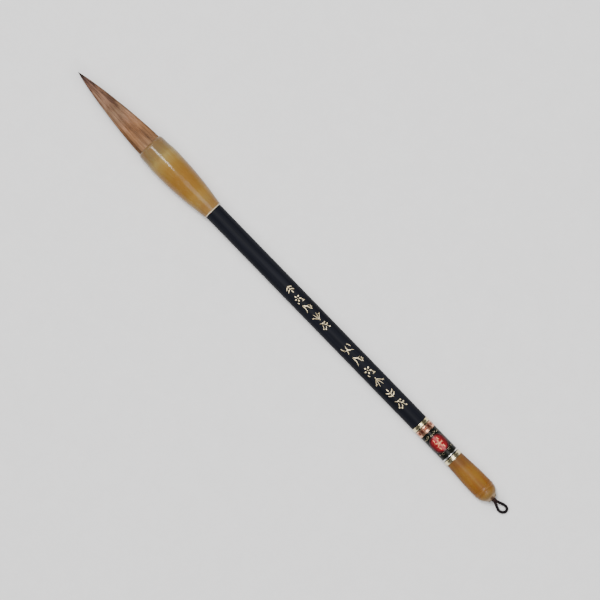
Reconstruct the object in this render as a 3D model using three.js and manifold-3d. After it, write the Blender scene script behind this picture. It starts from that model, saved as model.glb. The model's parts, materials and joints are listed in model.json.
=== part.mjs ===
// A large Chinese calligraphy brush, lying on a table with its hair tip towards -X.
// Hair tuft, horn ferrule, lacquered wooden shaft, metal and foil bands, horn tail and a hanging loop.
// Each turned piece is drawn in the brush's own frame: "along" is the distance from the hair tip, on +X.
// The whole brush is then laid down, so that the ferrule's belly and the tail's bead both touch z = 0.
import * as THREE from "three";
import { mergeVertices } from "three/addons/utils/BufferGeometryUtils.js";
import Module from "manifold-3d";

const wasm = await Module();
wasm.setup();

// Driving dimensions, in millimetres. Every length along the brush is measured from the hair tip.
const shaftRadius = 4.5;
const facets = 36; // flats round each turned piece
const fitGap = 0.08; // between pieces that are pushed or glued together
const bendGap = 0.3; // between the stretches of hair that bend against each other

const tuft = {
  radius: 6.11, // at the ferrule's mouth
  length: 49.4, // from the point to the ferrule's mouth
  rootEnd: 57.3, // where the bound root stops in the ferrule's socket
  bellyBend: 43.9, // centre of the bend between the stiff root and the belly
  tipBend: 19.4, // centre of the bend between the belly and the soft point
  coreLength: 19.5, // of the stiff core hairs in the belly
  coreShare: 0.72, // radius of the core, as a share of the belly's
};
const thread = { turns: 4, radius: 0.24, start: 54.4, seat: 5.75 };
const ferrule = {
  mouth: 49.4,
  shoulder: 56.2,
  belly: 7.67,
  bellyEnd: 61.5,
  end: 92.4,
  endRadius: 4.95,
  socketRadius: 6.4,
  socketEnd: 60.3,
  lipRadius: 7.02,
};
const tenon = { front: 75.2, radius: 3.2, chamfer: 0.5 };
const seat = { start: 233.8, end: 257.84, radius: 4.1 }; // the stretch of shaft that carries the bands
const rearTenon = { end: 267.6, radius: 2.95 };
// The bands on the seat, from the hair towards the tail: how long each is, and its outer radius.
const bands = {
  front_gold_ring: { length: 1.85, radius: 4.72, bulge: 0.1 },
  front_black_ring: { length: 0.42, radius: 4.42, bulge: 0 },
  copper_key_band: { length: 3.33, radius: 4.6, bulge: 0 },
  label_sleeve: { length: 14.97, radius: 4.58, bulge: 0 },
  silver_ring: { length: 0.66, radius: 4.66, bulge: 0.06 },
  rear_black_ring: { length: 0.42, radius: 4.36, bulge: 0 },
  rear_gold_ring: { length: 2.0, radius: 4.72, bulge: 0.1 },
};
const medallion = { halfLength: 4.65, halfWidth: 3.95, thickness: 0.26 };
const tail = {
  start: 257.92,
  startRadius: 4.6,
  end: 276.8,
  endRadius: 5.38,
  bore: 3.05,
};
const button = {
  start: 276.9,
  bead: 5.47,
  beadEnd: 278.6,
  end: 284.3,
  faceRadius: 2.35, // the small flat round the cord's hole
  spigotStart: 270.6,
  spigotRadius: 2.95,
  hole: 1.25,
  knotPocket: 2.2,
  pocketEnd: 276.9,
};
const cord = { radius: 0.57, sides: 10, pivot: 285.3, knotCentre: 274.2, knotRadius: 1.85, spread: 0.6 };

// Materials, one for each finish.
const finish = (color, roughness, metalness = 0) =>
  new THREE.MeshStandardMaterial({ color, roughness, metalness });
const weaselHair = finish(0x8a5a3c, 0.6);
const coreHair = finish(0x9c7b5a, 0.7);
const silkThread = finish(0xd8d0bc, 0.8);
const rosin = finish(0x5a3416, 0.35);
const clearGlue = finish(0xd9c27a, 0.3);
const ferruleHorn = finish(0xa97c34, 0.22);
const tailHorn = finish(0xa0672a, 0.25);
const buttonHorn = finish(0x9a7432, 0.25);
const blackLacquer = finish(0x14161c, 0.25);
const paleGold = finish(0xd9cfa2, 0.22, 1);
const silver = finish(0xd6d6d2, 0.2, 1);
const copperFoil = finish(0xc47a5c, 0.35, 0.8);
const blackFoil = finish(0x15171a, 0.35);
const redEnamel = finish(0xb02030, 0.15);
const waxedCord = finish(0x1d1013, 0.7);

// How far the hair tuft reaches from its axis: a point that swells quickly and then runs nearly straight.
function tuftRadius(along) {
  const share = Math.min(along / tuft.length, 1);
  return tuft.radius * (1 - (1 - share) ** 1.5) ** 0.88;
}

// Points [along, radius] on a ball's outline, by the angle from its hair side.
function arc(centre, radius, from, to, steps) {
  return Array.from({ length: steps + 1 }, (_, i) => {
    const angle = from + ((to - from) * i) / steps;
    return [centre - radius * Math.cos(angle), radius * Math.sin(angle)];
  });
}

// Points [along, radius] of the tuft's outline, between two places.
function hairOutline(from, to, steps) {
  return Array.from({ length: steps + 1 }, (_, i) => {
    const along = from + ((to - from) * i) / steps;
    return [along, tuftRadius(along)];
  });
}

// The angle at which a ball round a bend cuts the tuft's outline, found by halving.
function rimAngle(centre, radius) {
  let low = 0.2;
  let high = Math.PI / 2;
  for (let i = 0; i < 40; i++) {
    const middle = (low + high) / 2;
    const inside = radius * Math.sin(middle) < tuftRadius(centre - radius * Math.cos(middle));
    if (inside) low = middle;
    else high = middle;
  }
  return low;
}

// A smooth curve through a few [along, radius] points.
function curve(points, steps) {
  const line = new THREE.SplineCurve(points.map(([along, radius]) => new THREE.Vector2(along, radius)));
  return line.getPoints(steps).map((p) => [p.x, p.y]);
}

// A piece turned about the brush's axis. A flat, not a corner, faces the table.
function turned(name, outline, material) {
  const points = outline.map(([along, radius]) => new THREE.Vector2(Math.max(radius, 0), along));
  const geometry = new THREE.LatheGeometry(points, facets, Math.PI / facets);
  geometry.rotateZ(-Math.PI / 2);
  return named(name, geometry, material);
}

function named(name, geometry, material) {
  const mesh = new THREE.Mesh(geometry, material);
  mesh.name = name;
  return mesh;
}

// A closed geometry as a solid that can be cut and joined, and the way back.
function solid(geometry) {
  const bare = geometry.index ? geometry.toNonIndexed() : geometry.clone();
  bare.deleteAttribute("normal");
  bare.deleteAttribute("uv");
  const merged = mergeVertices(bare, 1e-4);
  return new wasm.Manifold(
    new wasm.Mesh({
      numProp: 3,
      vertProperties: new Float32Array(merged.attributes.position.array),
      triVerts: new Uint32Array(merged.index.array),
    }),
  );
}

function geometryOf(made) {
  const mesh = made.getMesh();
  const geometry = new THREE.BufferGeometry();
  geometry.setAttribute("position", new THREE.BufferAttribute(new Float32Array(mesh.vertProperties), 3));
  geometry.setIndex(new THREE.BufferAttribute(new Uint32Array(mesh.triVerts), 1));
  geometry.computeVertexNormals();
  return geometry;
}

// ---- Hair tuft ----

// The root: hair bound with thread and soaked in glue, stiff as far as the bend outside the ferrule.
function tuftRoot() {
  const waist = thread.seat - fitGap;
  const threadEnd = thread.start + 2 * thread.radius * thread.turns + fitGap;
  return turned(
    "tuft_root",
    [
      ...arc(tuft.bellyBend, tuftRadius(tuft.bellyBend), 0, Math.PI / 2, 7),
      ...hairOutline(tuft.bellyBend, tuft.length, 2).slice(1),
      [thread.start - 0.6, tuft.radius - 0.05],
      [thread.start - fitGap, waist],
      [threadEnd, waist],
      [threadEnd + 0.3, tuft.radius - 0.12],
      [tuft.rootEnd, tuft.radius - 0.15],
      [tuft.rootEnd, 0],
    ],
    weaselHair,
  );
}

// The belly's stiff core hairs, which end in a blunt point inside the cover hairs.
function coreHairs() {
  const hollow = tuftRadius(tuft.bellyBend) + bendGap;
  const back = tuft.bellyBend - hollow;
  const point = tuft.bellyBend - tuft.coreLength;
  const angle = Math.asin((coreRadius(back) - fitGap) / hollow);
  return turned(
    "core_hairs",
    [
      [point + 2 * fitGap, 0],
      ...coreOutline(point, back, -fitGap),
      ...arc(tuft.bellyBend, hollow, angle, 0, 4),
    ],
    coreHair,
  );
}

function coreRadius(along) {
  const point = tuft.bellyBend - tuft.coreLength;
  const share = Math.min((along - point) / 9, 1);
  return tuft.coreShare * tuftRadius(along) * Math.sqrt(Math.max(share, 0));
}

function coreOutline(point, back, offset) {
  const steps = 5;
  return Array.from({ length: steps }, (_, i) => {
    const along = point + (back - point) * ((i + 1) / (steps + 0.5)) ** 1.5;
    return [along, coreRadius(along) + offset];
  });
}

// The cover hairs over the core, closed ahead of it in the ball that the soft point bends round.
function coverHairs() {
  const hollow = tuftRadius(tuft.bellyBend) + bendGap;
  const rim = rimAngle(tuft.bellyBend, hollow);
  const back = tuft.bellyBend - hollow;
  const point = tuft.bellyBend - tuft.coreLength;
  const inner = Math.asin((coreRadius(back) + fitGap) / hollow);
  return turned(
    "cover_hairs",
    [
      ...arc(tuft.tipBend, tuftRadius(tuft.tipBend), 0, Math.PI / 2, 6),
      ...hairOutline(tuft.tipBend, tuft.bellyBend - hollow * Math.cos(rim), 5).slice(1),
      ...arc(tuft.bellyBend, hollow, rim, inner, 3).slice(1),
      ...coreOutline(point, back, fitGap).reverse(),
      [point - fitGap, 0],
    ],
    weaselHair,
  );
}

// The soft point, of cover hairs alone.
function tipHairs() {
  const hollow = tuftRadius(tuft.tipBend) + bendGap;
  const rim = rimAngle(tuft.tipBend, hollow);
  return turned(
    "tip_hairs",
    [
      [0, 0],
      ...hairOutline(1.2, tuft.tipBend - hollow * Math.cos(rim), 5),
      ...arc(tuft.tipBend, hollow, rim, 0, 5).slice(1),
    ],
    weaselHair,
  );
}

// The thread that binds the root, wound side by side and glued into one sleeve.
function rootThread() {
  const outline = [[thread.start, thread.seat]];
  for (let i = 0; i < thread.turns; i++) {
    const centre = thread.start + thread.radius * (2 * i + 1);
    const turn = arc(centre, thread.radius, 0.5, Math.PI - 0.5, 2);
    outline.push(...turn.map(([along, radius]) => [along, thread.seat + 0.2 + radius]));
  }
  outline.push([thread.start + 2 * thread.radius * thread.turns, thread.seat], outline[0]);
  return turned("root_thread", outline, silkThread);
}

// The burnt rosin that seals the root's end, and the glue that sets the tuft in its socket.
function disc(name, from, to, radius, material) {
  return turned(
    name,
    [
      [from, 0],
      [from, radius - 0.2],
      [from + 0.2, radius],
      [to, radius],
      [to, 0],
    ],
    material,
  );
}

// ---- Horn ferrule ----

function ferruleBody() {
  const { mouth, shoulder, belly, bellyEnd, end, endRadius, socketRadius, socketEnd, lipRadius } = ferrule;
  const swell = curve(
    [
      [bellyEnd, belly],
      [70.5, 7.38],
      [78.5, 6.74],
      [86, 5.78],
      [end - 0.6, endRadius + 0.06],
    ],
    9,
  );
  return turned(
    "ferrule",
    [
      [socketEnd, 0],
      [socketEnd, socketRadius],
      [mouth, socketRadius],
      [mouth, lipRadius],
      [mouth + 0.35, lipRadius + 0.12],
      [shoulder - 1.4, lipRadius + 0.3],
      [shoulder + 1, belly - 0.05],
      [shoulder + 2.4, belly],
      ...swell,
      [end, endRadius - 0.35],
      [end, tenon.radius + fitGap],
      [tenon.front - 0.3, tenon.radius + fitGap],
      [tenon.front - 0.3, 0],
    ],
    ferruleHorn,
  );
}

// ---- Shaft and bands ----

function shaft() {
  return turned(
    "shaft",
    [
      [tenon.front, 0],
      [tenon.front, tenon.radius - tenon.chamfer],
      [tenon.front + tenon.chamfer, tenon.radius],
      [ferrule.end + fitGap, tenon.radius],
      [ferrule.end + fitGap, shaftRadius - 0.15],
      [ferrule.end + fitGap + 0.15, shaftRadius],
      [seat.start - 0.15, shaftRadius],
      [seat.start, shaftRadius - 0.15],
      [seat.start, seat.radius],
      [seat.end, seat.radius],
      [seat.end, rearTenon.radius],
      [rearTenon.end - tenon.chamfer, rearTenon.radius],
      [rearTenon.end, rearTenon.radius - tenon.chamfer],
      [rearTenon.end, 0],
    ],
    blackLacquer,
  );
}

// One band: a plain sleeve, or a ring whose middle stands proud of its edges.
function band(name, start, material) {
  const { length, radius, bulge } = bands[name];
  const inner = seat.radius + fitGap;
  const end = start + length;
  const crown = bulge
    ? [
        [start + length * 0.25, radius],
        [end - length * 0.25, radius],
      ]
    : [];
  return turned(
    name,
    [[start, inner], [start, radius - bulge], ...crown, [end, radius - bulge], [end, inner], [start, inner]],
    material,
  );
}

// All the bands in a row, a little apart, each with its finish.
function bandRow() {
  const finishes = [paleGold, blackFoil, copperFoil, blackFoil, silver, blackFoil, paleGold];
  const row = new THREE.Group();
  let start = seat.start + fitGap;
  Object.keys(bands).forEach((name, i) => {
    bands[name].start = start;
    row.add(band(name, start, finishes[i]));
    start += bands[name].length + fitGap / 2;
  });
  return row;
}

// The round enamel badge on the label, bent to the sleeve: a tube wall cut by an upright oval post.
function medallionBadge() {
  const inner = bands.label_sleeve.radius + fitGap / 2;
  const outer = inner + medallion.thickness;
  const middle = bands.label_sleeve.start + bands.label_sleeve.length / 2;
  const reach = medallion.halfLength + 1;
  const wall = turned(
    "wall",
    [
      [middle - reach, inner],
      [middle - reach, outer],
      [middle + reach, outer],
      [middle + reach, inner],
      [middle - reach, inner],
    ],
    redEnamel,
  ).geometry;
  const post = new THREE.CylinderGeometry(1, 1, 2 * outer, facets);
  post.rotateX(Math.PI / 2);
  post.scale(medallion.halfLength, medallion.halfWidth, 1);
  post.translate(middle, 0, outer);
  return named("medallion", geometryOf(solid(wall).intersect(solid(post))), redEnamel);
}

// ---- Horn tail ----

function tailCap() {
  const { start, startRadius, end, endRadius, bore } = tail;
  return turned(
    "tail_cap",
    [
      [start, bore],
      [start, startRadius - 0.12],
      ...curve(
        [
          [start + 0.15, startRadius],
          [start + 6, startRadius + 0.36],
          [start + 12, endRadius - 0.1],
          [end - 0.15, endRadius],
        ],
        5,
      ),
      [end, endRadius - 0.12],
      [end, bore],
      [start, bore],
    ],
    tailHorn,
  );
}

// The domed end button. Its spigot plugs the tail cap and holds the cord's knot.
function tailButton() {
  const { start, bead, beadEnd, end, faceRadius, spigotStart, spigotRadius, hole, knotPocket, pocketEnd } = button;
  return turned(
    "tail_button",
    [
      [spigotStart, knotPocket],
      [spigotStart, spigotRadius],
      [start, spigotRadius],
      [start, bead - 0.14],
      [start + 0.3, bead],
      [beadEnd, bead],
      ...curve(
        [
          [beadEnd + 0.15, bead - 0.1],
          [beadEnd + 1.7, bead - 0.52],
          [beadEnd + 3.2, bead - 1.38],
          [beadEnd + 4.6, bead - 2.55],
          [end, faceRadius],
        ],
        7,
      ),
      [end, hole + 0.25],
      [end - 0.35, hole],
      [pocketEnd, hole],
      [pocketEnd, knotPocket],
      [spigotStart, knotPocket],
    ],
    buttonHorn,
  );
}

// ---- Hanging cord ----

// The cord's line outside the button, by hand: [along, sideways], out along one strand and back.
const loopLine = [
  [286.15, -0.6],
  [286.9, -0.76],
  [287.8, -1.06],
  [288.9, -1.52],
  [290.1, -1.89],
  [291.3, -1.82],
  [292.3, -1.3],
  [293.0, -0.5],
  [293.25, 0.42],
  [292.9, 1.26],
  [292.0, 1.84],
  [290.8, 1.94],
  [289.5, 1.62],
  [288.2, 1.16],
  [287.1, 0.8],
  [286.15, 0.6],
];

// How far the loop hangs below the brush's axis at a distance past its pivot: it droops more and more.
const droop = (past) => -(0.19 * past + 0.0495 * past ** 2);

function hangingLoop() {
  const line = new THREE.CatmullRomCurve3(
    loopLine.map(([along, side]) => new THREE.Vector3(along, side, droop(along - cord.pivot))),
  );
  return named("hanging_loop", cordTube(line, 40), waxedCord);
}

function cordTube(line, steps) {
  const section = new THREE.Shape();
  for (let i = 0; i < cord.sides; i++) {
    const angle = (2 * Math.PI * i) / cord.sides;
    const point = [cord.radius * Math.cos(angle), cord.radius * Math.sin(angle)];
    if (i) section.lineTo(...point);
    else section.moveTo(...point);
  }
  return new THREE.ExtrudeGeometry(section, { steps, extrudePath: line });
}

// The knot in the button's pocket, with the two strands that run from it through the hole.
function cordKnot() {
  const { knotCentre, knotRadius, radius, pivot, spread } = cord;
  let made = solid(turned("knot", arc(knotCentre, knotRadius, 0, Math.PI, 8), waxedCord).geometry);
  for (const side of [-spread, spread]) {
    const start = knotCentre + 0.5;
    const strand = new THREE.CylinderGeometry(radius, radius, pivot - start, cord.sides);
    strand.rotateZ(Math.PI / 2);
    strand.translate((start + pivot) / 2, side, 0);
    const end = new THREE.SphereGeometry(radius, cord.sides, 6);
    end.rotateZ(Math.PI / 2);
    end.translate(pivot, side, 0);
    made = made.add(solid(strand)).add(solid(end));
  }
  return named("cord_knot", geometryOf(made), waxedCord);
}

// ---- The whole brush ----

const brush = new THREE.Group();
brush.add(
  tipHairs(),
  coverHairs(),
  coreHairs(),
  tuftRoot(),
  rootThread(),
  disc("root_seal", tuft.rootEnd + fitGap, tuft.rootEnd + 1.3, tuft.radius - 0.15, rosin),
  disc("socket_glue", tuft.rootEnd + 1.4, ferrule.socketEnd - fitGap, ferrule.socketRadius - fitGap, clearGlue),
  ferruleBody(),
  shaft(),
  bandRow(),
  medallionBadge(),
  tailCap(),
  tailButton(),
);

// Laid down on its belly and bead, with the origin under the middle of the brush, without its cord.
const flat = Math.cos(Math.PI / facets); // how much nearer the axis a flat lies than a corner
const drop = (ferrule.belly - button.bead) * flat;
brush.rotation.y = Math.atan2(drop, button.beadEnd - ferrule.bellyEnd);
const reach = new THREE.Box3().setFromObject(brush, true);
brush.position.set(-(reach.min.x + reach.max.x) / 2, -(reach.min.y + reach.max.y) / 2, -reach.min.z);
brush.add(cordKnot(), hangingLoop());

export default brush;
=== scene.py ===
# A large calligraphy brush lying on a pale table: hair tuft, horn ferrule, lacquered shaft, foil bands,
# horn tail and a hanging cord
import json
import math

import bmesh
import bpy
import numpy as np
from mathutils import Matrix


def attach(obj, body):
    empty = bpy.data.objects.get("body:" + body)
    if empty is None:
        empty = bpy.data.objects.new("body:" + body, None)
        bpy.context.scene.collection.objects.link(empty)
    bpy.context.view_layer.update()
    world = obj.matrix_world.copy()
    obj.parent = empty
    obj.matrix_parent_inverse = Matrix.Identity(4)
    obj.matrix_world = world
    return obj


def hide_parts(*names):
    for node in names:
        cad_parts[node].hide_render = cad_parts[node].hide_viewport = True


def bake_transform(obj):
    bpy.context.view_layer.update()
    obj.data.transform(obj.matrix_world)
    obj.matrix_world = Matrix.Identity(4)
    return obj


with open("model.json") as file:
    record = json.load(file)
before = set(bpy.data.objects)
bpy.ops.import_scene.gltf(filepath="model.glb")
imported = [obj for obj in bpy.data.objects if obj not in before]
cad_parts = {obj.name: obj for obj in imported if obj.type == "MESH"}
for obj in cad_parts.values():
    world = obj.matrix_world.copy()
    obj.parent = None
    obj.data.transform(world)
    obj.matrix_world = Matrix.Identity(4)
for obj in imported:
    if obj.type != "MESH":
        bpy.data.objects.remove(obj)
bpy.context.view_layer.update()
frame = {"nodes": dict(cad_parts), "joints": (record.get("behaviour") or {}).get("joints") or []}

# The brush's own line. Lengths along it are in mm from the hair tip, radii in mm,
# and turns in radians from straight up
mm = 0.001
stations = {"bellyBend": 43.9, "cordPivot": 285.3}
jointAt = {joint["name"]: np.array(joint["pos_m"]) for joint in frame["joints"]}
axisAlong = jointAt["loop_swing"] - jointAt["belly_bend"]
axisAlong = axisAlong / np.linalg.norm(axisAlong)
axisSide = np.array([0.0, 1.0, 0.0])
axisUp = np.cross(axisAlong, axisSide)
hairTip = jointAt["belly_bend"] - axisAlong * stations["bellyBend"] * mm
lieAngle = math.atan2(-axisAlong[2], axisAlong[0])


# Straight place on the brush: tip + along * axis + side * sideways + height * up, in metres
def placeFlat(along, side, height):
    along, side, height = np.broadcast_arrays(along, side, height)
    steps = along[..., None] * axisAlong + side[..., None] * axisSide + height[..., None] * axisUp
    return hairTip + steps * mm


# Round place on the brush: side = radius * sin(turn), height = radius * cos(turn)
def place(along, radius, turn):
    return placeFlat(along, radius * np.sin(turn), radius * np.cos(turn))


# Corner numbers of the quads of many (rows x columns) grids, one after another, closed round the columns
def gridQuads(count, rows, columns):
    row = np.arange(rows - 1)[:, None] * columns
    here = np.arange(columns)[None, :]
    after = (here + 1) % columns
    quad = np.stack([row + here, row + columns + here, row + columns + after, row + after], -1)
    quad = quad.reshape(-1, 4)
    return (quad[None] + (np.arange(count) * rows * columns)[:, None, None]).reshape(-1, 4)


# The two end caps of each of those grids, as one face of all its columns
def gridCaps(count, rows, columns):
    first = np.arange(columns)[None, :] + (np.arange(count) * rows * columns)[:, None]
    last = first[:, ::-1] + (rows - 1) * columns
    return np.concatenate([first, last])


# A mesh object straight from arrays: points, then index arrays of equal-sided faces,
# then named values per point
def makePiece(name, points, faceSets, material, values=None, sharpAngle=None, weld=False):
    mesh = bpy.data.meshes.new(name)
    points = np.asarray(points, float).reshape(-1, 3)
    corners = np.concatenate([faces.ravel() for faces in faceSets])
    sizes = np.concatenate([np.full(len(faces), faces.shape[1]) for faces in faceSets])
    starts = np.concatenate([[0], np.cumsum(sizes)[:-1]])
    mesh.vertices.add(len(points))
    mesh.vertices.foreach_set("co", points.astype(np.float32).ravel())
    mesh.loops.add(len(corners))
    mesh.loops.foreach_set("vertex_index", corners.astype(np.int32))
    mesh.polygons.add(len(sizes))
    mesh.polygons.foreach_set("loop_start", starts.astype(np.int32))
    for label, numbers in (values or {}).items():
        layer = mesh.attributes.new(label, "FLOAT", "POINT")
        layer.data.foreach_set("value", np.asarray(numbers, np.float32).ravel())
    mesh.update(calc_edges=True)
    if weld:
        weldPoles(mesh)
    mesh.polygons.foreach_set("use_smooth", np.ones(len(mesh.polygons), bool))
    if sharpAngle:
        mesh.set_sharp_from_angle(angle=math.radians(sharpAngle))
    mesh.validate()
    piece = bpy.data.objects.new(name, mesh)
    bpy.context.scene.collection.objects.link(piece)
    mesh.materials.append(material)
    return piece


# Points that fell together at a pole become one, and faces with no area go
def weldPoles(mesh):
    work = bmesh.new()
    work.from_mesh(mesh)
    bmesh.ops.remove_doubles(work, verts=work.verts, dist=1e-7)
    bmesh.ops.dissolve_degenerate(work, dist=1e-8, edges=work.edges)
    work.to_mesh(mesh)
    work.free()


# Every corner of an outline cut back by size and replaced with a quadratic curve of a few points
def softened(outline, size, steps=4):
    outline = np.asarray(outline, float)
    before = np.roll(outline, 1, 0)
    after = np.roll(outline, -1, 0)
    into = before - outline
    out = after - outline
    longIn = np.linalg.norm(into, axis=1, keepdims=True)
    longOut = np.linalg.norm(out, axis=1, keepdims=True)
    start = outline + into * np.minimum(size / np.maximum(longIn, 1e-9), 0.45)
    end = outline + out * np.minimum(size / np.maximum(longOut, 1e-9), 0.45)
    t = np.linspace(0, 1, steps)[None, :, None]
    bent = start[:, None] * (1 - t) ** 2 + outline[:, None] * 2 * t * (1 - t) + end[:, None] * t**2
    return np.concatenate([outline[:1], bent[1:-1].reshape(-1, 2), outline[-1:]])


# A smooth line through a few points: Catmull-Rom pieces, each cut into the same number of steps
def smoothLine(points, steps):
    points = np.asarray(points, float)
    padded = np.concatenate([2 * points[:1] - points[1:2], points, 2 * points[-1:] - points[-2:-1]])
    p0, p1, p2, p3 = (padded[i : len(points) - 1 + i][:, None] for i in range(4))
    t = np.linspace(0, 1, steps, endpoint=False)[None, :, None]
    line = 0.5 * (
        2 * p1 + (p2 - p0) * t + (2 * p0 - 5 * p1 + 4 * p2 - p3) * t**2 + (3 * p1 - p0 - 3 * p2 + p3) * t**3
    )
    return np.concatenate([line.reshape(-1, points.shape[1]), points[-1:]])


# A turned piece: the outline (along, radius) carried once round the brush; ripple adds mm to the radius
def turnPiece(name, outline, material, sides=120, ripple=None, sharpAngle=40):
    outline = np.asarray(outline, float)
    onAxis = outline[0, 1] < 1e-6
    if not onAxis:
        outline = np.concatenate([outline, outline[:1]])
    turn = np.arange(sides) * 2 * np.pi / sides
    along, turns = np.meshgrid(outline[:, 0], turn, indexing="ij")
    radius = np.repeat(outline[:, 1:2], sides, 1)
    if ripple is not None:
        radius = np.where(radius > 1e-6, radius + ripple(along, turns), radius)
    points = place(along, radius, turns)
    faces = [gridQuads(1, len(outline), sides)]
    return makePiece(name, points, faces, material, {"along": along}, sharpAngle, weld=True)


# Flattened strokes laid on a round surface. Each path is (count, rows, 2) in (along, arc) mm; a lens section
# of half-width and lift is carried along it, and arc becomes a turn of arc / radius
def inlayStrokes(paths, halfWidths, lift, surfaceRadius, columns=8):
    ahead = np.gradient(paths, axis=1)
    ahead = ahead / np.maximum(np.linalg.norm(ahead, axis=-1, keepdims=True), 1e-9)
    across = np.stack([-ahead[..., 1], ahead[..., 0]], -1)
    lean = -np.arange(columns) * 2 * np.pi / columns
    flat = paths[:, :, None] + across[:, :, None] * (halfWidths[..., None] * np.cos(lean))[..., None]
    height = surfaceRadius + lift * np.sin(lean)[None, None] * np.minimum(halfWidths[..., None] / 0.05, 1)
    radius = np.broadcast_to(height, flat.shape[:-1])
    return place(flat[..., 0], radius, flat[..., 1] / surfaceRadius)


# Joins several batches of strokes, each (count, rows, columns, 3), into one piece
def strokePiece(name, batches, material, sharpAngle=50):
    points, quads, caps, offset = [], [], [], 0
    for batch in batches:
        count, rows, columns = batch.shape[:3]
        quads.append(gridQuads(count, rows, columns) + offset)
        caps.append(gridCaps(count, rows, columns) + offset)
        points.append(batch.reshape(-1, 3))
        offset += count * rows * columns
    return makePiece(name, np.concatenate(points), quads + caps, material, None, sharpAngle)


# Gives a piece its body, and hides the CAD nodes that it stands for, if any. The slot name is not used
def settle(piece, body, slotName, *nodes):
    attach(piece, body)
    if nodes:
        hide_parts(*nodes)


# The shader's sockets under shorter names
socketNames = {
    "rough": "Roughness", "metal": "Metallic", "ior": "IOR", "specular": "Specular IOR Level",
    "glow": "Subsurface Weight", "glowReach": "Subsurface Radius", "glowScale": "Subsurface Scale",
    "coat": "Coat Weight", "coatRough": "Coat Roughness", "brushed": "Anisotropic",
}


# A material with a Principled shader; settings go straight to the shader's own sockets
def shaderFor(name, **settings):
    material = bpy.data.materials.new(name)
    material.use_nodes = True
    tree = material.node_tree
    shader = tree.nodes["Principled BSDF"]
    for socket, value in settings.items():
        shader.inputs[socketNames[socket]].default_value = value
    return material, tree, shader


# A shader node; each setting is an unlinked socket where it has one of that name, or else a property
def node(tree, kind, **props):
    made = tree.nodes.new(kind)
    for key, value in props.items():
        if key in made.inputs:
            made.inputs[key].default_value = value
        else:
            setattr(made, key, value)
    return made


# Object coordinates stretched by scale, after turning the brush's lean away
def brushSpace(tree, scale):
    where = node(tree, "ShaderNodeTexCoord")
    turned = node(tree, "ShaderNodeMapping", vector_type="POINT")
    turned.inputs["Rotation"].default_value = (0, -lieAngle, 0)
    turned.inputs["Scale"].default_value = scale
    tree.links.new(where.outputs["Object"], turned.inputs["Vector"])
    return turned.outputs["Vector"]


# Noise of 0 to 1, centred on one half; warp bends its cells
def noise(tree, vector, scale, detail=4.0, rough=0.55, warp=0.0):
    made = node(tree, "ShaderNodeTexNoise", Scale=scale, Detail=detail, Roughness=rough, Distortion=warp)
    tree.links.new(vector, made.inputs["Vector"])
    return made.outputs["Fac"]


# Noise on the brush's own coordinates; stretch is its cells per metre along, across and up
def grain(tree, stretch, detail, rough, warp=0.0):
    return noise(tree, brushSpace(tree, stretch), 1.0, detail, rough, warp)


# A value that the mesh holds at its points
def attribute(tree, label):
    return node(tree, "ShaderNodeAttribute", attribute_name=label).outputs["Fac"]


# One arithmetic operation on two values, each a number or an output
def calc(tree, operation, first, second):
    made = node(tree, "ShaderNodeMath", operation=operation)
    for socket, value in zip(made.inputs, (first, second)):
        if isinstance(value, (int, float)):
            socket.default_value = value
        else:
            tree.links.new(value, socket)
    return made.outputs[0]


# A value stretched from one range to another
def remap(tree, value, low, high, toLow, toHigh):
    made = node(tree, "ShaderNodeMapRange")
    tree.links.new(value, made.inputs["Value"])
    for socket, number in zip(("From Min", "From Max", "To Min", "To Max"), (low, high, toLow, toHigh)):
        made.inputs[socket].default_value = number
    return made.outputs["Result"]


# Colours along a value, as (position, (r, g, b)) stops in 0 to 1
def ramp(tree, value, stops):
    made = node(tree, "ShaderNodeValToRGB")
    band = made.color_ramp
    band.interpolation = "EASE"
    for index, (position, color) in enumerate(stops):
        stop = band.elements[index] if index < 2 else band.elements.new(position)
        stop.position = position
        stop.color = (*color, 1)
    tree.links.new(value, made.inputs["Fac"])
    return made.outputs["Color"]


# first * (1 - share) + second * share, in colour
def mixColor(tree, share, first, second):
    made = node(tree, "ShaderNodeMix", data_type="RGBA")
    for socket, value in zip((made.inputs[0], made.inputs[6], made.inputs[7]), (share, first, second)):
        if isinstance(value, tuple):
            socket.default_value = (*value, 1)
        else:
            tree.links.new(value, socket)
    return made.outputs[2]


# A second colour laid over the first, from none of it at low to the most at high
def cover(tree, value, low, high, most, first, second):
    return mixColor(tree, remap(tree, value, low, high, 0, most), first, second)


# The shader's own colour, from a node's output
def paint(tree, shader, color):
    tree.links.new(color, shader.inputs["Base Color"])


# Roughness that follows a noise, from its dips to its peaks
def roughen(tree, shader, value, atDips, atPeaks):
    tree.links.new(remap(tree, value, 0.3, 0.7, atDips, atPeaks), shader.inputs["Roughness"])


# Fine relief in the shading, distance metres deep
def bump(tree, shader, height, strength, distance):
    made = node(tree, "ShaderNodeBump", Strength=strength, Distance=distance)
    tree.links.new(height, made.inputs["Height"])
    tree.links.new(made.outputs["Normal"], shader.inputs["Normal"])


# The camera looks straight down on the brush, whose line runs from upper left to lower right
camera = {"lens": 300, "sensor": 36, "viewWidth": 286.5, "turn": 45.81, "middle": 151.94, "offLine": 0.11}


# Height over the brush = width seen * lens / sensor
def addCamera(s):
    view = bpy.data.cameras.new("camera")
    view.lens, view.sensor_width = s["lens"], s["sensor"]
    view.clip_start, view.clip_end = 0.01, 20
    holder = bpy.data.objects.new("camera", view)
    middle = placeFlat(s["middle"], s["offLine"], 0)
    distance = s["viewWidth"] * mm * s["lens"] / s["sensor"]
    holder.location = (middle[0], middle[1], middle[2] + distance)
    holder.rotation_euler = (0, 0, math.radians(s["turn"]))
    bpy.context.scene.collection.objects.link(holder)
    bpy.context.scene.camera = holder


addCamera(camera)
print("camera set")

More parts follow.
